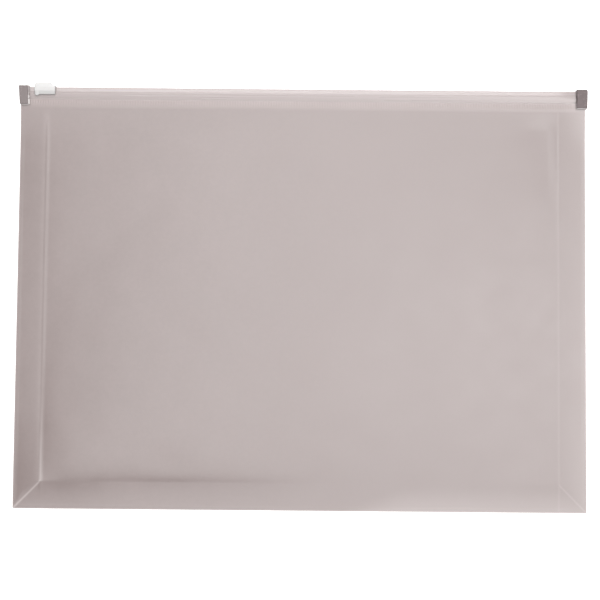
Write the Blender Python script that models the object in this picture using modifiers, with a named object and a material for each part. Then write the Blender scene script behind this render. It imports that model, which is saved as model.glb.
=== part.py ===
"""A flat cash deposit bag: two film panels welded round three sides, with a slider zip along the top.

The bag lies on its back. X runs along the zip, +Y from the bottom seam to the zip, and +Z through the
thickness. The origin is the middle of the bag's underside. Sizes are in metres.

The zip's section is described by two distances: "down" from the zip's top edge, and "out" from the
middle plane of the bag.
"""

import math

import bmesh
import bpy
from mathutils import Vector

# Overall sizes
BAG_WIDTH = 0.3302  # film, from side seam to side seam
BAG_HEIGHT = 0.2450  # from the bottom seam to the zip's top edge
BAG_THICKNESS = 0.0100  # over both panels, inside the creases
CLEARANCE = 0.0003  # between pieces that touch or slide

# Film panels
FILM = 0.0003
SEAM_WIDTH = 0.0020
CREASE_INSET = 0.0160  # from the film's edge to the crease that lets the bag expand
ZIP_SLOPE = 0.0200  # where the film rises from the zip to its full height

# Zip profiles: track, neck and flange, from the top edge down
TRACK_HEIGHT = 0.0036
TRACK_DEPTH = 0.00155
TRACK_ROUND = 0.0007
NECK_DROP = 0.0065  # down to the end of the neck
NECK_DEPTH = 0.00075
FLANGE_DROP = 0.0122  # down to the flange's lower edge
FLANGE_DEPTH = 0.00045
TONGUE_WIDTH = 0.0007
TONGUE_REACH = 0.0007  # past the middle plane, into the groove
TONGUE_LAND = 0.00035  # left between the finger's channel and the groove

# Slider
SLIDER_LENGTH = 0.0121
SLIDER_ARM = 0.0014
SLIDER_CROWN = 0.0021  # over the top edge of the zip
SLIDER_HOOK = 0.0007
SLIDER_BEVEL = 0.0003
OPEN_SIDE_CHAMFER = 0.0008
CLOSED_SIDE_CHAMFER = 0.0020
FINGER_THICKNESS = 0.0010
FINGER_REACH = 0.0012
FINGER_LENGTH = 0.0055
PARKING_GAP = 0.0026  # between the parked slider and the left clip

# End clips
CLIP_LENGTH = 0.0068
CLIP_WALL = 0.0009
CLIP_END_WALL = 0.0010
CLIP_DROP = 0.0103  # down from the zip's top edge
CLIP_BEVEL = 0.0005
NOTCH_MARGIN = 0.0005  # between a clip and the swinging front panel

# Split of the front profile into a swinging middle and two held ends
SPLIT_MARGIN = 0.0010  # between the parked slider and the swinging middle

# Levels and edges that follow from the sizes above
MIDDLE_Z = BAG_THICKNESS / 2
SLIDER_RISE = CLEARANCE + SLIDER_CROWN
BOTTOM_Y = -(BAG_HEIGHT + SLIDER_RISE) / 2
ZIP_TOP_Y = BOTTOM_Y + BAG_HEIGHT
HALF_WIDTH = BAG_WIDTH / 2

FACE_OUT = CLEARANCE / 2
TRACK_OUT = FACE_OUT + TRACK_DEPTH
NECK_OUT = FACE_OUT + NECK_DEPTH
FLANGE_OUT = FACE_OUT + FLANGE_DEPTH
CHANNEL_OUT = FINGER_THICKNESS / 2 + CLEARANCE
CHANNEL_DROP = FINGER_REACH + CLEARANCE
TONGUE_DROP = CHANNEL_DROP + TONGUE_LAND + CLEARANCE + TONGUE_WIDTH / 2
GROOVE_HALF = TONGUE_WIDTH / 2 + CLEARANCE
GROOVE_OUT = TONGUE_REACH + CLEARANCE

SEAM_OUT = (CLEARANCE + FILM) / 2
WELD_OUT = FLANGE_OUT + CLEARANCE + FILM / 2
CROWN_OUT = (BAG_THICKNESS - FILM) / 2
WELD_TOP_Y = ZIP_TOP_Y - NECK_DROP - CLEARANCE
WELD_END_Y = ZIP_TOP_Y - FLANGE_DROP
CROWN_TOP_Y = WELD_END_Y - ZIP_SLOPE

SADDLE_OUT = TRACK_OUT + CLEARANCE
CLIP_INNER_X = HALF_WIDTH + CLEARANCE
CLIP_OUTER_X = CLIP_INNER_X + CLIP_END_WALL
CLIP_MOUTH_X = CLIP_OUTER_X - CLIP_LENGTH
PARKED_INNER_X = CLIP_MOUTH_X - PARKING_GAP - SLIDER_LENGTH
MIDDLE_HALF_LENGTH = PARKED_INNER_X - SPLIT_MARGIN

CUT_PAST = 0.0020  # how far a cutter runs past what it cuts
ARC_STEPS = 4


def clear_scene():
    for obj in list(bpy.data.objects):
        bpy.data.objects.remove(obj)


def new_collection(name):
    collection = bpy.data.collections.new(name)
    bpy.context.scene.collection.children.link(collection)
    return collection


def new_material(name, colour, roughness):
    material = bpy.data.materials.new(name)
    material.use_nodes = True
    shader = material.node_tree.nodes["Principled BSDF"]
    shader.inputs["Base Color"].default_value = (*colour, 1)
    shader.inputs["Roughness"].default_value = roughness
    shader.inputs["Metallic"].default_value = 0
    return material


def new_empty(collection, name, location):
    empty = bpy.data.objects.new(name, None)
    empty.empty_display_size = 0.01
    empty.location = location
    collection.objects.link(empty)
    return empty


def hang(obj, parent):
    """Parents an object that is already in its place, and keeps it there."""
    obj.parent = parent
    obj.location = obj.location - parent.location


def mesh_object(collection, name, mesh):
    obj = bpy.data.objects.new(name, mesh)
    collection.objects.link(obj)
    return obj


def box(collection, name, low, high):
    """A box between two corners, with its origin in its middle."""
    size = Vector(high) - Vector(low)
    bm = bmesh.new()
    bmesh.ops.create_cube(bm, size=1)
    bmesh.ops.scale(bm, vec=size, verts=bm.verts)
    mesh = bpy.data.meshes.new(name)
    bm.to_mesh(mesh)
    bm.free()
    obj = mesh_object(collection, name, mesh)
    obj.location = (Vector(low) + Vector(high)) / 2
    return obj


def outline_solid(collection, name, points, half_depth, location, rotation=(0, 0, 0)):
    """A flat outline given a depth to both sides of its plane, as a welded mesh."""
    curve = bpy.data.curves.new(name + "_outline", "CURVE")
    curve.dimensions = "2D"
    curve.fill_mode = "BOTH"
    curve.extrude = half_depth
    spline = curve.splines.new("POLY")
    spline.points.add(len(points) - 1)
    for point, (x, y) in zip(spline.points, points, strict=True):
        point.co = (x, y, 0, 1)
    spline.use_cyclic_u = True
    guide = mesh_object(collection, name + "_outline", curve)
    guide.location = location
    guide.rotation_euler = rotation
    bpy.context.view_layer.update()

    graph = bpy.context.evaluated_depsgraph_get()
    mesh = bpy.data.meshes.new_from_object(guide.evaluated_get(graph))
    bm = bmesh.new()
    bm.from_mesh(mesh)
    bmesh.ops.remove_doubles(bm, verts=bm.verts, dist=1e-6)
    bmesh.ops.recalc_face_normals(bm, faces=bm.faces)
    bm.to_mesh(mesh)
    bm.free()
    obj = mesh_object(collection, name, mesh)
    obj.matrix_world = guide.matrix_world
    bpy.data.objects.remove(guide)
    return obj


def section_solid(collection, name, section, x_low, x_high):
    """A section of (down, out) points carried along X between two places."""
    points = [(-down, out) for down, out in section]
    middle = ((x_low + x_high) / 2, ZIP_TOP_Y, MIDDLE_Z)
    # This turn sends the outline's x to Y, its y to Z and its depth to X.
    turn = (math.pi / 2, 0, math.pi / 2)
    return outline_solid(collection, name, points, (x_high - x_low) / 2, middle, turn)


def helper(obj):
    obj.hide_render = True
    obj.display_type = "WIRE"
    return obj


def boolean(obj, operation, other):
    modifier = obj.modifiers.new(other.name, "BOOLEAN")
    modifier.operation = operation
    modifier.object = helper(other)


def bevel(obj, width):
    modifier = obj.modifiers.new("rounded_edges", "BEVEL")
    modifier.width = width
    modifier.segments = 2
    modifier.limit_method = "ANGLE"
    modifier.angle_limit = math.radians(40)


def finish(obj, material):
    obj.data.materials.clear()
    obj.data.materials.append(material)
    return obj


# Film panels


def rise(distance, start, end):
    """0 up to the start, 1 from the end on, and straight between them."""
    return min(max((distance - start) / (end - start), 0), 1)


def film_out(x, y):
    """How far the middle of the film stands out from the bag's middle plane."""
    to_edge = min(HALF_WIDTH - abs(x), y - BOTTOM_Y)
    edge_rise = rise(to_edge, SEAM_WIDTH, CREASE_INSET)
    zip_rise = rise(WELD_END_Y - y, 0, ZIP_SLOPE)
    rim = WELD_OUT + (SEAM_OUT - WELD_OUT) * zip_rise
    return rim + (CROWN_OUT - rim) * min(edge_rise, zip_rise)


def panel_stations():
    """The lines across the film, in X and in Y, where its slope changes."""
    right = [HALF_WIDTH - CREASE_INSET, HALF_WIDTH - SEAM_WIDTH, HALF_WIDTH]
    across = [-x for x in reversed(right)] + right
    low = [BOTTOM_Y, BOTTOM_Y + SEAM_WIDTH, BOTTOM_Y + CREASE_INSET]
    return across, low + [CROWN_TOP_Y, WELD_END_Y, WELD_TOP_Y]


def mitre_corners(bm, across, up):
    """Splits each sloping corner from its outer point to the crown's corner, as the film folds there."""
    stations = {(x, y): None for x in across for y in up}
    for vert in bm.verts:
        nearest = min(stations, key=lambda s: math.hypot(s[0] - vert.co.x, s[1] - vert.co.y))
        stations[nearest] = vert
    for outer_x, crown_x in ((across[1], across[2]), (across[-2], across[-3])):
        for outer_y, crown_y in ((up[1], up[2]), (up[4], up[3])):
            ends = [stations[outer_x, outer_y], stations[crown_x, crown_y]]
            bmesh.ops.connect_verts(bm, verts=ends)


def film_panel(collection, name, side):
    """A creased sheet. side is 1 for the front panel and -1 for the back one."""
    across, up = panel_stations()
    bm = bmesh.new()
    bmesh.ops.create_grid(bm, x_segments=len(across) - 1, y_segments=len(up) - 1, size=0.5)
    for vert in bm.verts:
        column = round((vert.co.x + 0.5) * (len(across) - 1))
        row = round((vert.co.y + 0.5) * (len(up) - 1))
        x, y = across[column], up[row]
        vert.co = (x, y, MIDDLE_Z + side * film_out(x, y))
    mitre_corners(bm, across, up)
    mesh = bpy.data.meshes.new(name)
    bm.to_mesh(mesh)
    bm.free()
    panel = mesh_object(collection, name, mesh)
    solidify = panel.modifiers.new("film_thickness", "SOLIDIFY")
    solidify.thickness = FILM
    solidify.offset = 0
    solidify.use_even_offset = True
    return panel


def cut_clip_notches(panel, cutters):
    """Takes the swinging panel's top corners away from under the clips."""
    for side, word in ((-1, "left"), (1, "right")):
        inner = CLIP_MOUTH_X - NOTCH_MARGIN
        outer = HALF_WIDTH + CUT_PAST
        low_x, high_x = sorted((side * inner, side * outer))
        low = (low_x, ZIP_TOP_Y - CLIP_DROP - NOTCH_MARGIN, MIDDLE_Z)
        high = (high_x, ZIP_TOP_Y, MIDDLE_Z + BAG_THICKNESS)
        boolean(panel, "DIFFERENCE", box(cutters, f"clip_notch_{word}", low, high))


# Zip profiles


def outer_profile(side):
    """The outside of a profile, from the flange's lower edge up and over the track's rounded corner."""
    points = [
        (FLANGE_DROP, FLANGE_OUT),
        (NECK_DROP, FLANGE_OUT),
        (NECK_DROP, NECK_OUT),
        (TRACK_HEIGHT, NECK_OUT),
        (TRACK_HEIGHT, TRACK_OUT),
    ]
    for step in range(ARC_STEPS + 1):
        angle = math.pi / 2 * step / ARC_STEPS
        down = TRACK_ROUND * (1 - math.sin(angle))
        out = TRACK_OUT - TRACK_ROUND * (1 - math.cos(angle))
        points.append((down, out))
    points += [(0, CHANNEL_OUT), (CHANNEL_DROP, CHANNEL_OUT)]
    return [(down, side * out) for down, out in points]


def front_section():
    """The front profile, with the tongue that presses into the back one."""
    tongue = [
        (CHANNEL_DROP, FACE_OUT),
        (TONGUE_DROP - TONGUE_WIDTH / 2, FACE_OUT),
        (TONGUE_DROP - TONGUE_WIDTH / 2, -TONGUE_REACH),
        (TONGUE_DROP + TONGUE_WIDTH / 2, -TONGUE_REACH),
        (TONGUE_DROP + TONGUE_WIDTH / 2, FACE_OUT),
        (FLANGE_DROP, FACE_OUT),
    ]
    return outer_profile(1) + tongue


def back_section():
    """The back profile, with the groove that takes the tongue."""
    groove = [
        (CHANNEL_DROP, -FACE_OUT),
        (TONGUE_DROP - GROOVE_HALF, -FACE_OUT),
        (TONGUE_DROP - GROOVE_HALF, -GROOVE_OUT),
        (TONGUE_DROP + GROOVE_HALF, -GROOVE_OUT),
        (TONGUE_DROP + GROOVE_HALF, -FACE_OUT),
        (FLANGE_DROP, -FACE_OUT),
    ]
    return outer_profile(-1) + groove


# Slider


def slider_outline():
    """The slider seen from the front, about its own middle, with its two upper corners cut."""
    half = SLIDER_LENGTH / 2
    top = SLIDER_RISE
    bottom = -(TRACK_HEIGHT + CLEARANCE + SLIDER_HOOK)
    return [
        (-half, bottom),
        (half, bottom),
        (half, top - CLOSED_SIDE_CHAMFER),
        (half - CLOSED_SIDE_CHAMFER, top),
        (-half + OPEN_SIDE_CHAMFER, top),
        (-half, top - OPEN_SIDE_CHAMFER),
    ]


def saddle_section():
    """What the slider leaves free: the two tracks, and below them the narrower neck."""
    track_end = TRACK_HEIGHT + CLEARANCE
    slot_out = NECK_OUT + CLEARANCE
    slot_end = track_end + SLIDER_HOOK + CUT_PAST
    right = [
        (-CLEARANCE, SADDLE_OUT),
        (track_end, SADDLE_OUT),
        (track_end, slot_out),
        (slot_end, slot_out),
    ]
    return right + [(down, -out) for down, out in reversed(right)]


def zip_slider(collection, cutters, middle_x):
    place = (middle_x, ZIP_TOP_Y, MIDDLE_Z)
    slider = outline_solid(collection, "zip_slider", slider_outline(), SADDLE_OUT + SLIDER_ARM, place)
    bevel(slider, SLIDER_BEVEL)
    low_x = middle_x - SLIDER_LENGTH / 2
    high_x = middle_x + SLIDER_LENGTH / 2
    saddle = section_solid(cutters, "slider_saddle", saddle_section(), low_x - CUT_PAST, high_x + CUT_PAST)
    boolean(slider, "DIFFERENCE", saddle)
    inset = OPEN_SIDE_CHAMFER + SLIDER_BEVEL
    low = (low_x + inset, ZIP_TOP_Y - FINGER_REACH, MIDDLE_Z - FINGER_THICKNESS / 2)
    high = (low_x + inset + FINGER_LENGTH, ZIP_TOP_Y + SLIDER_RISE / 2, MIDDLE_Z + FINGER_THICKNESS / 2)
    boolean(slider, "UNION", box(cutters, "slider_finger", low, high))
    return slider


# End clips


def end_clip(collection, cutters, word, side):
    """A cap over the ends of both profiles, open below and towards the bag's middle."""
    outer_out = SADDLE_OUT + CLIP_WALL
    top_y = ZIP_TOP_Y + CLEARANCE + CLIP_WALL
    bottom_y = ZIP_TOP_Y - CLIP_DROP
    low_x, high_x = sorted((side * CLIP_MOUTH_X, side * CLIP_OUTER_X))
    low = (low_x, bottom_y, MIDDLE_Z - outer_out)
    high = (high_x, top_y, MIDDLE_Z + outer_out)
    clip = box(collection, f"end_clip_{word}", low, high)
    bevel(clip, CLIP_BEVEL)
    low_x, high_x = sorted((side * (CLIP_MOUTH_X - CUT_PAST), side * CLIP_INNER_X))
    low = (low_x, bottom_y - CUT_PAST, MIDDLE_Z - SADDLE_OUT)
    high = (high_x, ZIP_TOP_Y + CLEARANCE, MIDDLE_Z + SADDLE_OUT)
    boolean(clip, "DIFFERENCE", box(cutters, f"clip_hollow_{word}", low, high))
    return clip


def main():
    clear_scene()
    bag = new_collection("cash_deposit_bag")
    cutters = new_collection("cutters")

    film = new_material("smoke_film", (0.30, 0.25, 0.25), 0.45)
    track = new_material("smoke_profile", (0.36, 0.31, 0.31), 0.30)
    white = new_material("white_plastic", (0.86, 0.85, 0.84), 0.35)
    dark = new_material("dark_smoke_plastic", (0.09, 0.07, 0.07), 0.30)

    bag_root = new_empty(bag, "bag", (0, 0, 0))
    mouth_hinge = new_empty(bag, "mouth_hinge", (0, BOTTOM_Y, MIDDLE_Z))
    slider_x = -(CLIP_MOUTH_X - PARKING_GAP - SLIDER_LENGTH / 2)
    slider_carriage = new_empty(bag, "slider_carriage", (slider_x, ZIP_TOP_Y, MIDDLE_Z))
    hang(mouth_hinge, bag_root)
    hang(slider_carriage, bag_root)

    back_panel = finish(film_panel(bag, "back_panel", -1), film)
    hang(back_panel, bag_root)
    front_panel = finish(film_panel(bag, "front_panel", 1), film)
    cut_clip_notches(front_panel, cutters)
    hang(front_panel, mouth_hinge)

    back_profile = section_solid(bag, "zip_profile_back", back_section(), -HALF_WIDTH, HALF_WIDTH)
    hang(finish(back_profile, track), bag_root)
    middle = section_solid(
        bag, "zip_profile_front", front_section(), -MIDDLE_HALF_LENGTH, MIDDLE_HALF_LENGTH
    )
    hang(finish(middle, track), mouth_hinge)

    for word, side in (("left", -1), ("right", 1)):
        inner = side * (MIDDLE_HALF_LENGTH + CLEARANCE)
        low_x, high_x = sorted((inner, side * HALF_WIDTH))
        end = section_solid(bag, f"zip_profile_front_{word}_end", front_section(), low_x, high_x)
        hang(finish(end, track), bag_root)
        hang(finish(end_clip(bag, cutters, word, side), dark), bag_root)

    hang(finish(zip_slider(bag, cutters, slider_x), white), slider_carriage)
    bpy.context.view_layer.update()


main()
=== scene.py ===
"""Looks of the cash deposit bag: two frosted smoke films, a slider zip, a white slider and end clips.

The bag lies on its back. Heights of the film and of the zip's sections are given as "out", the
distance from the bag's middle plane, and places along the zip's depth as "down" from its top edge.
"""

import math

import bmesh
import bpy
import numpy as np
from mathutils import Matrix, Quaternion, Vector


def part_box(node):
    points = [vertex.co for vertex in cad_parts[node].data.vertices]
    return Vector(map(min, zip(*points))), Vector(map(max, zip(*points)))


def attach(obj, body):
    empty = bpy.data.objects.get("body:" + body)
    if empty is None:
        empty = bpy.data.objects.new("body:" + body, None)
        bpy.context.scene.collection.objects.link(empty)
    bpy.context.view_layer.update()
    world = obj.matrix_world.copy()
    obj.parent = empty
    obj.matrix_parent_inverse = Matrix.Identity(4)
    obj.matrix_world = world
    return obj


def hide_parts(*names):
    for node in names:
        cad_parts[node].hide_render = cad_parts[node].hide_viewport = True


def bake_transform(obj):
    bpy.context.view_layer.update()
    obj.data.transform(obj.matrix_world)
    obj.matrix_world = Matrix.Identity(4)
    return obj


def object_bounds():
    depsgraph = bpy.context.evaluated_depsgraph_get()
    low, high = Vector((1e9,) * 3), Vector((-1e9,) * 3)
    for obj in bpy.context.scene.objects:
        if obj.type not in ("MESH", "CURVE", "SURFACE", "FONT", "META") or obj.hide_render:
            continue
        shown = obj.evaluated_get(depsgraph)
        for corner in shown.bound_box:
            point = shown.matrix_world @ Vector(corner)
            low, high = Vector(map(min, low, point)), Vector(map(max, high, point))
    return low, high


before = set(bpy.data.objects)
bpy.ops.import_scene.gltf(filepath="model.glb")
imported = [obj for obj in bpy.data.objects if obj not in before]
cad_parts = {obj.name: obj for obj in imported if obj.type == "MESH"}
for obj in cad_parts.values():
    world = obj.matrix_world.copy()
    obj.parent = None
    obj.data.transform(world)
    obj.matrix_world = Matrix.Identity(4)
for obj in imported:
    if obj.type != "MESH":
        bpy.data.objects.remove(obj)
CAD_LOW, CAD_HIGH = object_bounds()

MM = 0.001

# Places read from the CAD parts
PANEL_LOW, PANEL_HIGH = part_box("back_panel")
ZIP_LOW, ZIP_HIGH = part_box("zip_profile_back")
SLIDER_LOW, SLIDER_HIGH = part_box("zip_slider")
MIDDLE_Z = (CAD_LOW.z + CAD_HIGH.z) / 2
HALF_WIDTH = PANEL_HIGH.x
BOTTOM_Y = PANEL_LOW.y
WELD_TOP_Y = PANEL_HIGH.y - 0.5 * MM
WELD_END_Y = ZIP_LOW.y
ZIP_TOP_Y = ZIP_HIGH.y
TRACK_OUT = MIDDLE_Z - ZIP_LOW.z

# Film
FILM = 0.20 * MM
SEAM_OUT = 0.12 * MM
SEAM_WIDTH = 1.6 * MM
CREASE_INSET = 16 * MM
CREASE_OUT = 1.2 * MM
CROWN_OUT = 4.85 * MM
WELD_OUT = 1.05 * MM
FOLD_WIDTH = 6.0 * MM
RIB_PITCH = 1.5 * MM

# Zip section, down and out, as the CAD profiles have them
FACE_OUT = 0.15 * MM
NECK_OUT = 0.98 * MM
FLANGE_OUT = 0.90 * MM
TRACK_END = 3.6 * MM
FLANGE_END = 12.2 * MM
CHANNEL_OUT = 0.65 * MM
CHANNEL_END = 1.5 * MM
TONGUE_DROP = 2.5 * MM
TONGUE_HALF = 0.35 * MM
GROOVE_HALF = 0.65 * MM
TONGUE_REACH = 0.7 * MM
GROOVE_OUT = 1.0 * MM

SEED = 7
NOISE_LOW, NOISE_HIGH = 0.3, 0.7  # nearly all of a noise texture lies between these


# Small tools


def smooth(t):
    t = np.clip(t, 0, 1)
    return t * t * (3 - 2 * t)


def settle(distance, length):
    """0 at no distance, nearing 1 over a few lengths."""
    return 1 - np.exp(-np.maximum(distance, 0) / length)


def bump(distance, width):
    return np.exp(-((distance / width) ** 2))


def waves(x, y, seed, count, shortest, longest):
    """A soft random surface of about unit height, the same on each run."""
    random = np.random.default_rng(seed)
    total = np.zeros_like(x)
    for _ in range(count):
        length = random.uniform(shortest, longest)
        angle = random.uniform(0, 2 * math.pi)
        phase = random.uniform(0, 2 * math.pi)
        along = x * math.cos(angle) + y * math.sin(angle)
        total += np.sin(2 * math.pi * along / length + phase)
    return total / math.sqrt(count)


def rounded(corners, steps=4):
    """A closed outline whose corners (x, y, radius) are rounded."""
    points = []
    count = len(corners)
    for index, (x, y, radius) in enumerate(corners):
        here = Vector((x, y))
        before = Vector(corners[index - 1][:2]) - here
        after = Vector(corners[(index + 1) % count][:2]) - here
        if radius == 0:
            points.append((x, y))
            continue
        half_turn = before.angle(after) / 2
        reach = min(radius / math.tan(half_turn), before.length / 2, after.length / 2)
        start = here + before.normalized() * reach
        end = here + after.normalized() * reach
        for step in range(steps + 1):
            t = step / steps
            point = start * (1 - t) ** 2 + here * 2 * t * (1 - t) + end * t * t
            points.append(tuple(point))
    return points


def new_piece(name, vertices, faces):
    mesh = bpy.data.meshes.new(name)
    mesh.from_pydata([tuple(v) for v in vertices], [], faces)
    mesh.validate()
    obj = bpy.data.objects.new(name, mesh)
    bpy.context.scene.collection.objects.link(obj)
    return obj


def smooth_shade(obj, degrees=50):
    """Smooth shading, with an edge kept sharp where it turns by more than the given angle."""
    obj.data.shade_smooth()
    obj.data.set_sharp_from_angle(angle=math.radians(degrees))


def shade(obj, degrees=40):
    """Smooth shading in which the large faces stay flat and the rounded edges take up the turn."""
    smooth_shade(obj, degrees)
    weighted = obj.modifiers.new("weighted_normals", "WEIGHTED_NORMAL")
    weighted.keep_sharp = True
    weighted.weight = 100


def turn_outward(obj):
    bm = bmesh.new()
    bm.from_mesh(obj.data)
    bmesh.ops.recalc_face_normals(bm, faces=bm.faces)
    bm.to_mesh(obj.data)
    bm.free()


def loft(name, rings):
    """A solid through rings of equally many points, closed by a face at each end."""
    count = len(rings[0])
    vertices = [point for ring in rings for point in ring]
    faces = [list(range(count))]
    for r in range(len(rings) - 1):
        for i in range(count):
            j = (i + 1) % count
            faces.append([r * count + i, r * count + j, (r + 1) * count + j, (r + 1) * count + i])
    last = (len(rings) - 1) * count
    faces.append([last + i for i in reversed(range(count))])
    obj = new_piece(name, vertices, faces)
    turn_outward(obj)
    return obj


def make_real(obj):
    """Turns the object's modifiers into its mesh."""
    graph = bpy.context.evaluated_depsgraph_get()
    mesh = bpy.data.meshes.new_from_object(obj.evaluated_get(graph))
    obj.modifiers.clear()
    obj.data = mesh


def cut(obj, cutter):
    """Takes the cutter out of the object, and removes the cutter."""
    modifier = obj.modifiers.new("cut", "BOOLEAN")
    modifier.operation = "DIFFERENCE"
    modifier.object = cutter
    make_real(obj)
    bpy.data.objects.remove(cutter)


def block(name, low, high):
    bm = bmesh.new()
    bmesh.ops.create_cube(bm, size=1)
    bmesh.ops.scale(bm, vec=Vector(high) - Vector(low), verts=bm.verts)
    bmesh.ops.translate(bm, vec=(Vector(low) + Vector(high)) / 2, verts=bm.verts)
    mesh = bpy.data.meshes.new(name)
    bm.to_mesh(mesh)
    bm.free()
    obj = bpy.data.objects.new(name, mesh)
    bpy.context.scene.collection.objects.link(obj)
    return obj


# Materials


class Shader:
    """A material's nodes, made one line each."""

    def __init__(self, name):
        self.material = bpy.data.materials.new(name)
        self.material.use_nodes = True
        self.tree = self.material.node_tree
        self.surface = self.tree.nodes["Principled BSDF"]
        self.place = self.tree.nodes.new("ShaderNodeTexCoord").outputs["Object"]

    def set(self, **values):
        for name, value in values.items():
            self.surface.inputs[name.replace("_", " ")].default_value = value

    def link(self, output, name):
        self.tree.links.new(output, self.surface.inputs[name.replace("_", " ")])

    def noise(self, scale, detail=2.0, stretch=(1, 1, 1)):
        mapping = self.tree.nodes.new("ShaderNodeMapping")
        mapping.inputs["Scale"].default_value = stretch
        self.tree.links.new(self.place, mapping.inputs["Vector"])
        noise = self.tree.nodes.new("ShaderNodeTexNoise")
        noise.inputs["Scale"].default_value = scale
        noise.inputs["Detail"].default_value = detail
        self.tree.links.new(mapping.outputs["Vector"], noise.inputs["Vector"])
        return noise.outputs["Fac"]

    def attribute(self, name):
        node = self.tree.nodes.new("ShaderNodeAttribute")
        node.attribute_name = name
        return node.outputs["Fac"]

    def span(self, noise, to_low, to_high):
        """Turns the usual range of a noise into one from to_low to to_high."""
        node = self.tree.nodes.new("ShaderNodeMapRange")
        node.inputs["From Min"].default_value = NOISE_LOW
        node.inputs["From Max"].default_value = NOISE_HIGH
        node.inputs["To Min"].default_value = to_low
        node.inputs["To Max"].default_value = to_high
        self.tree.links.new(noise, node.inputs["Value"])
        return node.outputs["Result"]

    def math(self, operation, first, second):
        node = self.tree.nodes.new("ShaderNodeMath")
        node.operation = operation
        for socket, value in zip(node.inputs, (first, second), strict=False):
            if isinstance(value, (int, float)):
                socket.default_value = value
            else:
                self.tree.links.new(value, socket)
        return node.outputs["Value"]

    def mix(self, share, first, second):
        node = self.tree.nodes.new("ShaderNodeMix")
        node.data_type = "RGBA"
        sockets = [s for s in node.inputs if s.type == "RGBA"]
        for socket, value in zip(sockets, (first, second), strict=True):
            if isinstance(value, tuple):
                socket.default_value = (*value, 1)
            else:
                self.tree.links.new(value, socket)
        self.tree.links.new(share, node.inputs["Factor"])
        return [s for s in node.outputs if s.type == "RGBA"][0]

    def bump(self, height, distance, strength=1.0):
        node = self.tree.nodes.new("ShaderNodeBump")
        node.inputs["Distance"].default_value = distance
        node.inputs["Strength"].default_value = strength
        self.tree.links.new(height, node.inputs["Height"])
        self.tree.links.new(node.outputs["Normal"], self.surface.inputs["Normal"])


def film_material(name):
    """Frosted smoke film: cloudy and finely grained, paler in its weld and at its welded rim, with
    painted highlights along its creases and painted light over its right margins.

    The paler places are painted into the colour from the values that mark_tints_and_painted_light leaves
    on the mesh.
    """
    shader = Shader(name)
    clouds = shader.noise(14, 3)
    patches = shader.noise(75, 4)
    mottle = shader.noise(430, 2)
    grain = shader.noise(2600, 1)
    cloudy = shader.attribute("cloudy")
    broad = shader.span(clouds, -0.5, 0.5)
    uneven = shader.math("ADD", broad, shader.span(patches, -0.5, 0.5))
    uneven = shader.math("ADD", uneven, shader.span(mottle, -0.35, 0.35))
    share = shader.math("MULTIPLY_ADD", uneven, cloudy)
    share.node.inputs[2].default_value = 0.5  # what is added: even film is half way between the tints
    body = shader.mix(share, (0.202, 0.160, 0.153), (0.224, 0.179, 0.172))
    grained = shader.mix(shader.span(grain, 0, 1), (0.97, 0.97, 0.97), (1.0, 1.0, 1.0))
    tinted = shader.tree.nodes.new("ShaderNodeMix")
    tinted.data_type = "RGBA"
    tinted.blend_type = "MULTIPLY"
    tinted.inputs["Factor"].default_value = 1.0
    sockets = [s for s in tinted.inputs if s.type == "RGBA"]
    shader.tree.links.new(body, sockets[0])
    shader.tree.links.new(grained, sockets[1])
    plain = [s for s in tinted.outputs if s.type == "RGBA"][0]
    welded = shader.mix(shader.attribute("welded"), plain, (0.268, 0.218, 0.210))
    # Painted highlights along the creases and mitres, painted light over the right margins, and a paler
    # rim, mixed into the colour.
    colour = shader.mix(shader.attribute("painted_light_and_rim"), welded, (0.50, 0.45, 0.44))
    shader.link(colour, "Base_Color")
    shader.link(shader.span(patches, 0.32, 0.37), "Roughness")
    shader.set(Alpha=0.80, IOR=1.5, Specular_IOR_Level=1.0)
    shader.bump(grain, 0.02 * MM, 0.5)
    return shader.material


def strip_material():
    """Smoke extrusion, faintly streaked along its length, with painted shade darkening its lower half.
    """
    shader = Shader("glossy_smoke_extrusion")
    draw_lines = shader.noise(900, 2, (0.01, 1, 1))
    colour = shader.mix(draw_lines, (0.225, 0.183, 0.177), (0.229, 0.186, 0.180))
    # Painted shade: the strip below its crest is painted darker.
    shader.link(shader.mix(shader.attribute("painted_lower_shade"), colour, (0.190, 0.152, 0.146)), "Base_Color")
    shader.link(shader.span(draw_lines, 0.272, 0.278), "Roughness")
    shader.set(Alpha=0.94, IOR=1.5, Specular_IOR_Level=1.0)
    shader.bump(draw_lines, 0.002 * MM, 0.1)
    return shader.material


def slider_material():
    shader = Shader("satin_white_moulding")
    mould = shader.noise(1500, 3)
    shader.link(shader.mix(mould, (0.40, 0.394, 0.390), (0.435, 0.428, 0.424)), "Base_Color")
    shader.link(shader.span(mould, 0.3, 0.42), "Roughness")
    shader.set(IOR=1.5, Specular_IOR_Level=0.5)
    shader.bump(mould, 0.02 * MM, 0.4)
    return shader.material


def clip_material():
    shader = Shader("glossy_dark_smoke_moulding")
    mould = shader.noise(500, 3)
    body = shader.mix(mould, (0.078, 0.057, 0.057), (0.104, 0.079, 0.079))
    # Painted highlight on the clips' lips, and painted light that makes the left clip lighter overall.
    shader.link(shader.mix(shader.attribute("painted_clip_light"), body, (0.46, 0.43, 0.42)), "Base_Color")
    shader.link(shader.span(mould, 0.18, 0.30), "Roughness")
    shader.set(Alpha=0.95, IOR=1.5, Specular_IOR_Level=0.38)
    shader.bump(mould, 0.04 * MM, 0.4)
    return shader.material


def dress(obj, material):
    obj.data.materials.clear()
    obj.data.materials.append(material)


# Film panels


def edge_distances(x, y):
    return x + HALF_WIDTH, HALF_WIDTH - x, y - BOTTOM_Y


def nearest(left, right, bottom):
    return np.minimum(np.minimum(left, right), bottom)


def margin_rise(distance, roundness):
    """The film's rise from the welded edge to the crease: straight at roundness 0, bulging at 1."""
    t = np.clip((distance - SEAM_WIDTH) / (CREASE_INSET - SEAM_WIDTH), 0, 1)
    return t + roundness * (t - t * t)


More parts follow.
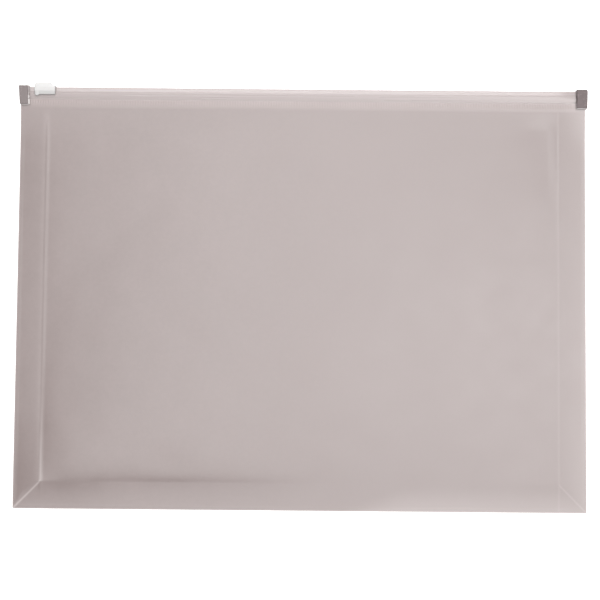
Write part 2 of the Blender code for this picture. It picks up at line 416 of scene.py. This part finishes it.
def crease_climb(distance, quick, slow):
    """A climb from a crease inwards: some of it within a few millimetres, the rest over a longer way."""
    inside = distance - CREASE_INSET
    return 0.45 * settle(inside, quick) + 0.55 * settle(inside, slow)


def left_bank(x, y):
    """What the front film stands higher on the left, most of all low down."""
    left, _, bottom = edge_distances(x, y)
    lower = smooth((BOTTOM_Y + 110 * MM - y) / (85 * MM))
    bank = (0.35 + 0.75 * lower) * MM * smooth((45 * MM - x) / (105 * MM))
    bank = bank + 1.3 * lower * MM * smooth((-10 * MM - x) / (130 * MM))
    return bank * crease_climb(left, 8 * MM, 30 * MM) * crease_climb(bottom, 5 * MM, 20 * MM)


def front_ripple(x, y):
    """Soft waves all over the front film, and shallow small ones on its left, dying out at its edges."""
    left, right, bottom = edge_distances(x, y)
    below_zip = WELD_END_Y - y
    soft = waves(x, y, SEED, 9, 70 * MM, 160 * MM)
    small = waves(x, y, SEED + 1, 14, 18 * MM, 42 * MM)
    inside = smooth((left - CREASE_INSET) / (20 * MM)) * smooth((right - CREASE_INSET) / (20 * MM))
    inside = inside * smooth((bottom - CREASE_INSET) / (16 * MM)) * smooth(below_zip / (20 * MM))
    return (0.16 * soft + 0.035 * small * left_share(x)) * MM * inside


def right_fold(right, below_zip, y):
    """High up, the film drops from the right crease over a few millimetres, and climbs again slowly."""
    high_up = smooth((y - 50 * MM) / (38 * MM)) * smooth(below_zip / (12 * MM))
    inward = np.maximum(right - CREASE_INSET, 0)
    drop = 1 - (1 - np.minimum(inward / FOLD_WIDTH, 1)) ** 1.5
    climb = np.clip(9 * MM + 0.6 * below_zip, 9 * MM, 30 * MM)
    return 0.9 * MM * high_up * drop * bump(np.maximum(inward - FOLD_WIDTH, 0), climb)


def crease_height(x, y, to_right):
    """How far out the crease is: lower at the bottom right, and lower high up on the left."""
    low_right = to_right * smooth((BOTTOM_Y + 75 * MM - y) / (60 * MM))
    low_down = smooth((BOTTOM_Y + 65 * MM - y) / (50 * MM))
    crease_out = CREASE_OUT - 0.45 * MM * low_right
    return crease_out + (1.0 * low_down - 0.4) * MM * smooth((-95 * MM - x) / (40 * MM))


def front_out(x, y):
    """The front film: creased margins, a soft pillow inside them, and a dip below the zip."""
    left, right, bottom = edge_distances(x, y)
    below_zip = WELD_END_Y - y
    to_right = smooth((x + 70 * MM) / (150 * MM))
    margin = np.minimum(margin_rise(left, 0.3), margin_rise(right, 0.9))
    margin = np.minimum(margin, margin_rise(bottom, -0.8 + 0.9 * to_right))

    crown = settle(left - CREASE_INSET, 80 * MM) * settle(right - CREASE_INSET, 105 * MM)
    crown = crown * settle(bottom - CREASE_INSET, 40 * MM) * settle(below_zip - 14 * MM, 45 * MM)
    bank = left_bank(x, y)
    crease_out = crease_height(x, y, to_right)
    ridge = 0.10 * MM * bump(left - CREASE_INSET, 0.7 * MM)
    ridge = ridge + 0.05 * MM * bump(right - CREASE_INSET, 0.7 * MM)
    lip = 0.06 * MM * bump(nearest(left, right, bottom) - SEAM_WIDTH, 0.5 * MM)

    body = SEAM_OUT + (crease_out - SEAM_OUT) * margin
    body = body + bank + (CROWN_OUT - crease_out - bank) * crown
    body = body + front_ripple(x, y) + ridge * margin + lip
    zip_rise = smooth(below_zip / (26 * MM))
    dip = WELD_OUT - 0.08 * MM * smooth(below_zip / (3.5 * MM))
    return dip + (body - dip) * zip_rise - right_fold(right, below_zip, y) + weld_shape(x, y)


def left_share(x):
    """How cloudy the film is: least at the right, most at the left."""
    return 0.25 + 0.75 * smooth((70 * MM - x) / (170 * MM))


def weld_shape(x, y):
    """The heat weld over the zip's flange: a low hump, ribbed across, strongest near its upper edge."""
    width = WELD_TOP_Y - WELD_END_Y
    t = np.clip((WELD_TOP_Y - y) / width, 0, 1)
    hump = 0.22 * MM * np.sin(math.pi * t) ** 0.8
    ribbed = smooth((t - 0.06) / 0.14) * smooth((0.85 - t) / 0.6)
    ends = smooth((HALF_WIDTH - np.abs(x)) / (12 * MM))
    ribs = 0.5 - 0.5 * np.cos(2 * math.pi * x / RIB_PITCH)
    return hump - 0.11 * MM * ribs * ribbed * ends


def back_out(x, y):
    """The back film, flatter than the front one because the bag's weight lies on it."""
    left, right, bottom = edge_distances(x, y)
    margin = np.minimum(margin_rise(left, 0.3), margin_rise(right, 0.3))
    margin = np.minimum(margin, margin_rise(bottom, 0.3))
    below_zip = WELD_END_Y - y
    crown = settle(left - CREASE_INSET, 14 * MM) * settle(right - CREASE_INSET, 14 * MM)
    crown = crown * settle(bottom - CREASE_INSET, 14 * MM) * settle(below_zip - 12 * MM, 18 * MM)
    soft = waves(x, y, SEED + 2, 9, 60 * MM, 150 * MM)
    ripple = 0.10 * MM * (soft - 1.2) * crown
    body = SEAM_OUT + (CREASE_OUT - SEAM_OUT) * margin + (CROWN_OUT - CREASE_OUT) * crown + ripple
    zip_rise = smooth(below_zip / (30 * MM))
    return WELD_OUT + (np.minimum(body, CROWN_OUT) - WELD_OUT) * zip_rise + weld_shape(x, y)


def even_steps(start, end, step):
    return list(np.linspace(start, end, max(1, round((end - start) / step)) + 1))


def film_stations():
    """Lines across the film: close together over the margins, where it is creased, and wider inside."""
    margin_step, inner_step = 0.5 * MM, 2.2 * MM
    crease_x = HALF_WIDTH - CREASE_INSET
    near_x = crease_x - 12 * MM
    across = even_steps(-HALF_WIDTH, -crease_x, margin_step)
    across += even_steps(-crease_x, -near_x, 1 * MM)[1:]
    across += even_steps(-near_x, near_x, inner_step)[1:]
    across += even_steps(near_x, crease_x, 1 * MM)[1:]
    across += even_steps(crease_x, HALF_WIDTH, margin_step)[1:]
    crease_y = BOTTOM_Y + CREASE_INSET
    up = even_steps(BOTTOM_Y, crease_y, margin_step)
    up += even_steps(crease_y, crease_y + 12 * MM, 1 * MM)[1:]
    up += even_steps(crease_y + 12 * MM, WELD_END_Y - 20 * MM, inner_step)[1:]
    up += even_steps(WELD_END_Y - 20 * MM, WELD_END_Y - 6 * MM, 1.2 * MM)[1:]
    up += even_steps(WELD_END_Y - 6 * MM, WELD_END_Y, 0.6 * MM)[1:]
    return np.array(across), np.array(up)


def weld_stations(across):
    """The weld band's finer lines: four to a rib, and the wider lines of the film below it."""
    ribs = np.arange(-HALF_WIDTH, HALF_WIDTH, RIB_PITCH / 4)
    fine = np.unique(np.round(np.concatenate([across, ribs]), 7))
    keep = [fine[0]]
    coarse = set(np.round(across, 7))
    for x in fine[1:]:
        if x - keep[-1] > 0.12 * MM or x in coarse:
            if x in coarse and x - keep[-1] <= 0.12 * MM and keep[-1] not in coarse:
                keep.pop()
            keep.append(x)
    return np.array(keep), np.linspace(WELD_END_Y, WELD_TOP_Y, 10)


def film_sheet(name, side, out):
    """A film as one mesh: the body, and the ribbed weld band in finer steps above it."""
    across, up = film_stations()
    fine, band = weld_stations(across)
    vertices, faces = [], []

    def add_rows(xs, ys):
        first = len(vertices)
        grid_x, grid_y = np.meshgrid(xs, ys)
        grid_z = MIDDLE_Z + side * out(grid_x, grid_y)
        vertices.extend(np.stack([grid_x, grid_y, grid_z], -1).reshape(-1, 3))
        for row in range(len(ys) - 1):
            for column in range(len(xs) - 1):
                a = first + row * len(xs) + column
                quad = [a, a + 1, a + 1 + len(xs), a + len(xs)]
                if xs[column] > 0:
                    quad = quad[1:] + quad[:1]
                faces.append(quad)
        return first

    first_low = add_rows(across, up[:-1])
    low = first_low + (len(up) - 2) * len(across)
    high = add_rows(fine, band)
    index_of = {round(float(x), 7): i for i, x in enumerate(fine)}
    for column in range(len(across) - 1):
        start = index_of[round(float(across[column]), 7)]
        end = index_of[round(float(across[column + 1]), 7)]
        upper = [high + i for i in range(end, start - 1, -1)]
        faces.append([low + column, low + column + 1] + upper)

    obj = new_piece(name, vertices, faces)
    mark_tints_and_painted_light(obj)
    solidify = obj.modifiers.new("film_thickness", "SOLIDIFY")
    solidify.thickness = FILM
    solidify.offset = 0
    make_real(obj)
    smooth_shade(obj)
    return obj


def pale_rim_and_painted_light(x, y):
    """Where a film is painted paler: painted highlights along its creases and corner mitres, a paler
    welded rim, and painted light over its right margin and the right part of its bottom margin.
    """
    left, right, bottom = edge_distances(x, y)
    in_margins = 1 - smooth((nearest(left, right, bottom) - 17 * MM) / (1 * MM))
    lower = smooth((BOTTOM_Y + 75 * MM - y) / (60 * MM))
    # Painted highlights along the creases, strongest low down on the left crease.
    left_line = bump(left - CREASE_INSET, 0.8 * MM) * (0.04 + 0.35 * lower)
    left_line = left_line + 0.09 * bump(left - CREASE_INSET + 1.0 * MM, 1.9 * MM)
    left_line = left_line * (bottom > CREASE_INSET)
    left_line = left_line * smooth((WELD_END_Y - y) / (6 * MM))
    right_line = bump(right - CREASE_INSET, 0.6 * MM) * 0.08 * (y < WELD_END_Y)
    # Painted highlights along the corner mitres.
    mitre = bump(left - bottom, 0.7 * MM) * (left < CREASE_INSET) * 0.45
    mitre += bump(right - bottom, 0.7 * MM) * (right < CREASE_INSET) * 0.15
    rim = bump(nearest(left, right, bottom), 0.6 * MM) * 0.18
    # Painted light: the right margin and the right part of the bottom margin are painted lighter.
    from_flat = np.minimum(right, bottom + 40 * MM * smooth((70 * MM - x) / (110 * MM)))
    painted_margin_light = 0.20 * smooth(1 - from_flat / CREASE_INSET)
    return np.clip(left_line + right_line + mitre * in_margins + rim + painted_margin_light, 0, 1)


def weld_paleness(x, y):
    """How pale the weld band is, which shows its ribs towards its upper edge."""
    ribs = 0.5 + 0.5 * np.cos(2 * math.pi * x / RIB_PITCH)
    fade = smooth((y - WELD_END_Y) / (WELD_TOP_Y - WELD_END_Y)) * smooth((WELD_TOP_Y - y) / (0.8 * MM))
    return smooth((y - WELD_END_Y + 1.0 * MM) / (2.5 * MM)) * (0.6 + 0.8 * ribs * fade)


def mark_tints_and_painted_light(obj):
    """Puts the film's painted light and paler rim, its cloudy places and its welded band on its points,
    for the material to read.
    """
    points = np.array([v.co for v in obj.data.vertices])
    x, y = points[:, 0], points[:, 1]
    film_marks = (
        # The first of these is painted highlight and painted light, with a paler rim.
        ("painted_light_and_rim", pale_rim_and_painted_light(x, y)),
        ("cloudy", left_share(x) * 0.5),
        ("welded", weld_paleness(x, y)),
    )
    for name, values in film_marks:
        attribute = obj.data.attributes.new(name, "FLOAT", "POINT")
        attribute.data.foreach_set("value", values.astype(np.float32))


# Zip


def strip_out(down, pinched):
    """How far out the profile's outside is: a crest over the track and a slope down to the flange."""
    crest = (1.38 - 0.24 * pinched) * MM
    edge = (0.80 + 0.20 * pinched) * MM
    downs = (0, 3.2 * MM, 4.4 * MM, 7.2 * MM, 11.0 * MM)
    outs = (edge, crest, NECK_OUT + 0.20 * MM, FLANGE_OUT + 0.02 * MM, FLANGE_OUT)
    near = np.linspace(-0.7, 0.7, 15) * MM
    return float(np.mean(np.interp(down + near, downs, outs)))


def strip_section(side, inner, pinched):
    """A profile's outline: its rounded outside, flatter where pinched, and the given inner face."""
    outside = [(FLANGE_END, FLANGE_OUT - 0.2 * MM, 0)]
    over_flange = np.arange(11.0, 7.5, -1.0) * MM
    over_track = np.arange(7.4, 0.5, -0.25) * MM
    for down in [*over_flange, *over_track]:
        outside.append((down, strip_out(down, pinched), 0))
    outside += [
        (0.3 * MM, strip_out(0.35 * MM, pinched), 0.3 * MM),
        (0, 0.78 * MM, 0.2 * MM),
        (0, CHANNEL_OUT, 0.15 * MM),
        (CHANNEL_END, CHANNEL_OUT, 0.2 * MM),
    ]
    corners = [(down, side * out, radius) for down, out, radius in outside] + inner
    return rounded(corners)


def front_inner():
    """The inner face of the front profile, with its tongue."""
    return [
        (CHANNEL_END, FACE_OUT, 0.1 * MM),
        (TONGUE_DROP - TONGUE_HALF, FACE_OUT, 0),
        (TONGUE_DROP - TONGUE_HALF, -TONGUE_REACH, 0.3 * MM),
        (TONGUE_DROP + TONGUE_HALF, -TONGUE_REACH, 0.3 * MM),
        (TONGUE_DROP + TONGUE_HALF, FACE_OUT, 0),
        (FLANGE_END, FACE_OUT, 0),
    ]


def back_inner():
    """The inner face of the back profile, with the groove that the tongue fits."""
    return [
        (CHANNEL_END, -FACE_OUT, 0.1 * MM),
        (TONGUE_DROP - GROOVE_HALF, -FACE_OUT, 0),
        (TONGUE_DROP - GROOVE_HALF, -GROOVE_OUT, 0.3 * MM),
        (TONGUE_DROP + GROOVE_HALF, -GROOVE_OUT, 0.3 * MM),
        (TONGUE_DROP + GROOVE_HALF, -FACE_OUT, 0),
        (FLANGE_END, -FACE_OUT, 0),
    ]


def zip_strip(name, side, inner):
    """One half of the zip, lofted along the bag, with its outside flatter near the right clip."""
    rings = []
    for x in even_steps(-HALF_WIDTH, HALF_WIDTH, 3 * MM):
        pinched = float(smooth((x - HALF_WIDTH + 17 * MM) / (9 * MM)))
        section = strip_section(side, inner, pinched)
        rings.append([(x, ZIP_TOP_Y - down, MIDDLE_Z + out) for down, out in section])
    obj = loft(name, rings)
    down = np.array([ZIP_TOP_Y - v.co.y for v in obj.data.vertices])
    # Painted shade for the material: darker from 3 mm below the top edge, full by 7 mm.
    painted_lower_shade = obj.data.attributes.new("painted_lower_shade", "FLOAT", "POINT")
    painted_lower_shade.data.foreach_set("value", smooth((down - 3 * MM) / (4 * MM)).astype(np.float32))
    smooth_shade(obj)
    return obj


def slider_half(x, length, lugged):
    """Half of the slider's section at x along it, from its crown down and back up inside its slot."""
    rise = SLIDER_HIGH.y - ZIP_TOP_Y
    bottom = ZIP_TOP_Y - SLIDER_LOW.y
    outer = SLIDER_HIGH.z - MIDDLE_Z
    saddle = TRACK_OUT + 0.3 * MM
    slot = 1.25 * MM
    track_end = TRACK_END + 0.5 * MM
    end_round = 0.35 * MM
    least_crown = 0.6 * MM  # keeps the crown above the slot's ceiling

    to_end = min(x, length - x)
    inset = end_round * (1 - math.sqrt(1 - (1 - min(to_end / end_round, 1)) ** 2))
    drop = 0.8 * MM * (1 - smooth(x / (1.1 * MM)))
    drop = drop + 2.3 * MM * float(np.clip((x - length + 2.6 * MM) / (2.4 * MM), 0, 1))
    top = -max(rise - inset - drop, least_crown)
    lug = 0.7 * MM * float(smooth((x - 0.3 * MM) / (0.4 * MM)) * smooth((2.6 * MM - x) / (0.7 * MM)))
    low_edge = bottom + lug * lugged - inset
    return [
        (top, outer - 0.5 * MM - inset, 0.9 * MM),
        (0.6 * MM, outer - inset, 2 * MM),
        (2.6 * MM, outer - 0.1 * MM - inset, 1.5 * MM),
        (low_edge, outer - 1.0 * MM - inset, 0.5 * MM),
        (low_edge, slot, 0.15 * MM),
        (track_end, slot, 0.1 * MM),
        (track_end, saddle, 0.15 * MM),
        (-0.3 * MM, saddle, 0.25 * MM),
    ]


def zip_slider():
    """The slider: a saddle over both tracks, whose crown drops at both ends, with a lug on its front."""
    length = SLIDER_HIGH.x - SLIDER_LOW.x
    rings = []
    for t in np.linspace(0, 1, 41):
        x = t * length
        front = slider_half(x, length, True)
        back = [(down, -out, radius) for down, out, radius in reversed(slider_half(x, length, False))]
        section = rounded(front + back, 5)
        rings.append([(SLIDER_LOW.x + x, ZIP_TOP_Y - down, MIDDLE_Z + out) for down, out in section])
    obj = loft("slider_shell", rings)
    shade(obj, 35)
    return obj


def slider_finger():
    """The fin inside the slider that pushes the tracks apart."""
    low = (SLIDER_LOW.x + 1.2 * MM, ZIP_TOP_Y - 1.2 * MM, MIDDLE_Z - 0.5 * MM)
    high = (SLIDER_LOW.x + 6.5 * MM, ZIP_TOP_Y + 0.6 * MM, MIDDLE_Z + 0.5 * MM)
    obj = block("separating_finger", low, high)
    bevel = obj.modifiers.new("rounded", "BEVEL")
    bevel.width = 0.3 * MM
    bevel.segments = 3
    shade(obj)
    return obj


def clip_outline(side, mouth, outer, top, bottom):
    """The clip seen from the front: its sides lean, its corners are round and its mouth is uneven."""
    middle = (top + bottom) / 2
    lean = -0.2 * MM if side > 0 else 0.6 * MM
    corners = [
        (mouth - lean, top, 0.5 * MM),
        (outer, top, 1.3 * MM if side > 0 else 0.6 * MM),
        (outer - side * 1.6 * abs(lean), bottom, 0.5 * MM if side > 0 else 1.2 * MM),
        (mouth, bottom, 0.4 * MM),
        (mouth - lean * 0.2, middle - 2.4 * MM, 0.2 * MM),
        (mouth - lean * 0.3 + side * 0.3 * MM, middle - 1.9 * MM, 0.2 * MM),
        (mouth - lean * 0.4, middle - 1.1 * MM, 0.3 * MM),
        (mouth - lean * 0.5 + side * 0.35 * MM, middle, 0.4 * MM),
        (mouth - lean * 0.6, middle + 1.3 * MM, 0.3 * MM),
    ]
    return rounded(corners, 5)


def hollow_out(obj, side, mouth, bottom):
    """Cuts the room inside a clip that the ends of both profiles go into."""
    hollow = TRACK_OUT + 0.3 * MM
    inner_x = side * (HALF_WIDTH + 0.3 * MM)
    past = mouth - side * 3 * MM
    low = (min(inner_x, past), bottom - 3 * MM, MIDDLE_Z - hollow)
    high = (max(inner_x, past), ZIP_TOP_Y + 0.3 * MM, MIDDLE_Z + hollow)
    cut(obj, block("hollow", low, high))


def end_clip(word, side):
    """A cap pinched on the ends of both profiles, rounded, with a lower lip round its mouth."""
    low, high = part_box(f"end_clip_{word}")
    mouth = low.x if side > 0 else high.x
    outer = high.x if side > 0 else low.x
    sink = 0.2 * MM if side > 0 else 0.55 * MM
    top, bottom = high.y - sink, low.y - sink
    mouth_lip, bottom_lip = (0.15 * MM, 0.45 * MM) if side > 0 else (1.0 * MM, 0.35 * MM)
    outline = clip_outline(side, mouth, outer, top, bottom)
    centre = Vector(((mouth + outer) / 2, (top + bottom) / 2))
    depth = high.z - MIDDLE_Z
    edge_round = 0.4 * MM
    lip_out = depth - 0.55 * MM

    def ring(out, inset, stepped):
        points = []
        for x, y in outline:
            from_mouth = side * (x - mouth)
            if stepped:
                from_mouth = max(from_mouth, mouth_lip + 0.5 * from_mouth)
                y = max(y, bottom + bottom_lip + 0.5 * (y - bottom))
            x = mouth + side * from_mouth
            across = np.clip((x - centre.x) / (1 * MM), -1, 1)
            along = np.clip((y - centre.y) / (4 * MM), -1, 1)
            points.append((x - inset * across, y - inset * along, MIDDLE_Z + out))
        return points

    upper = [ring(lip_out, 0, False), ring(lip_out, 0, True)]
    lower = [ring(-lip_out, 0, False), ring(-lip_out, 0, True)]
    for angle in np.linspace(0, math.pi / 2, 5):
        out = depth - edge_round * (1 - math.sin(angle))
        inset = edge_round * (1 - math.cos(angle))
        upper.append(ring(out, inset, True))
        lower.append(ring(-out, inset, True))
    obj = loft(f"clip_{word}", lower[::-1] + upper)
    # Painted light: the left clip is painted lighter overall than the right one.
    mark_painted_clip_light(obj, lip_out, 0.0 if side > 0 else 0.15)
    hollow_out(obj, side, mouth, bottom)
    shade(obj, 35)
    return obj


def mark_painted_clip_light(obj, lip_out, pale):
    """Marks how much painted light each face gets: painted highlight on the lip, uneven along it, and
    the given even paleness on the rest.
    """
    attribute = obj.data.attributes.new("painted_clip_light", "FLOAT", "FACE")
    for face, value in zip(obj.data.polygons, attribute.data, strict=True):
        on_lip = abs(abs(face.center.z - MIDDLE_Z) - lip_out) < 0.02 * MM
        wavy = math.sin(face.center.y / (0.45 * MM)) * math.cos(face.center.x / (0.6 * MM))
        uneven = 0.7 + 0.3 * wavy
        value.value = uneven if on_lip else pale


# Placement baked into the mesh


def gape(obj):
    """Bakes the object's placement into its mesh.
    """
    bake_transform(obj)


# Stage


def studio():
    floor = block("studio_floor", (-3, -3, -0.02), (3, 3, -0.0003))
    shader = Shader("white_floor")
    shader.set(Base_Color=(0.92, 0.92, 0.92, 1), Roughness=0.9, Specular_IOR_Level=0.1)
    shader.set(Emission_Color=(1, 1, 1, 1), Emission_Strength=0.5)
    floor.data.materials.append(shader.material)

    world = bpy.context.scene.world or bpy.data.worlds.new("studio")
    bpy.context.scene.world = world
    world.use_nodes = True
    background = world.node_tree.nodes["Background"]
    background.inputs["Color"].default_value = (1, 1, 1, 1)
    background.inputs["Strength"].default_value = 0.35


def area_light(name, location, target, size, power):
    light = bpy.data.lights.new(name, "AREA")
    light.shape = "RECTANGLE"
    light.size, light.size_y = size
    light.energy = power
    obj = bpy.data.objects.new(name, light)
    obj.location = location
    obj.rotation_mode = "QUATERNION"
    obj.rotation_quaternion = (Vector(target) - Vector(location)).to_track_quat("-Z", "Y")
    bpy.context.scene.collection.objects.link(obj)
    return obj


def camera():
    """Nearly straight down on the bag, from a little below its bottom edge."""
    distance = 0.70
    elevation = math.radians(86.75)
    roll = math.radians(0.52)
    target = Vector((-0.8 * MM, -2.3 * MM, MIDDLE_Z))
    back = Vector((0, -math.cos(elevation), math.sin(elevation)))
    data = bpy.data.cameras.new("camera")
    data.lens = 72.33
    data.sensor_width = 36
    obj = bpy.data.objects.new("camera", data)
    obj.location = target + back * distance
    obj.rotation_mode = "QUATERNION"
    obj.rotation_quaternion = (-back).to_track_quat("-Z", "Y") @ Quaternion((0, 0, 1), roll)
    bpy.context.scene.collection.objects.link(obj)
    bpy.context.scene.camera = obj


def main():
    film = film_material("frosted_smoke_film")
    strip = strip_material()
    white = slider_material()
    dark = clip_material()

    front = film_sheet("front_film", 1, front_out)
    dress(front, film)
    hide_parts("front_panel")
    gape(front)
    back = film_sheet("back_film", -1, back_out)
    turn_outward(back)
    dress(back, film)
    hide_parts("back_panel")
    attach(back, "bag_back")

    front_strip = zip_strip("zip_strip_front", 1, front_inner())
    dress(front_strip, strip)
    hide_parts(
        "zip_profile_front", "zip_profile_front_left_end", "zip_profile_front_right_end"
    )
    gape(front_strip)
    back_strip = zip_strip("zip_strip_back", -1, back_inner())
    dress(back_strip, strip)
    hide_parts("zip_profile_back")
    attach(back_strip, "bag_back")

    slider = zip_slider()
    dress(slider, white)
    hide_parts("zip_slider")
    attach(slider, "slider")
    finger = slider_finger()
    dress(finger, white)
    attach(finger, "slider")
    for word, side in (("left", -1), ("right", 1)):
        clip = end_clip(word, side)
        dress(clip, dark)
        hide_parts(f"end_clip_{word}")
        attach(clip, "bag_back")

    # Lights: place, what it points at, size, and power in watts
    studio()
    softbox = area_light("softbox", (0.08, 0.06, 3.0), (0.08, 0, 0), (2.25, 3.0), 60.5)
    softbox.data.shape = "ELLIPSE"
    area_light("key", (1.95, 0.0, 2.65), (0, 0, 0), (0.9, 3.0), 31)
    area_light("rim", (0.0, 2.1, 1.8), (0, 0, 0), (2.4, 1.0), 38)
    area_light("zip_light", (0.75, 1.76, 2.5), (0.75, 0.1, 0), (3.4, 0.7), 40)
    area_light("low_fill", (1.2, -2.0, 2.7), (0, 0, 0), (1.5, 1.5), 40)
    camera()

    scene = bpy.context.scene
    scene.view_settings.view_transform = "Standard"
    scene.view_settings.look = "None"


main()
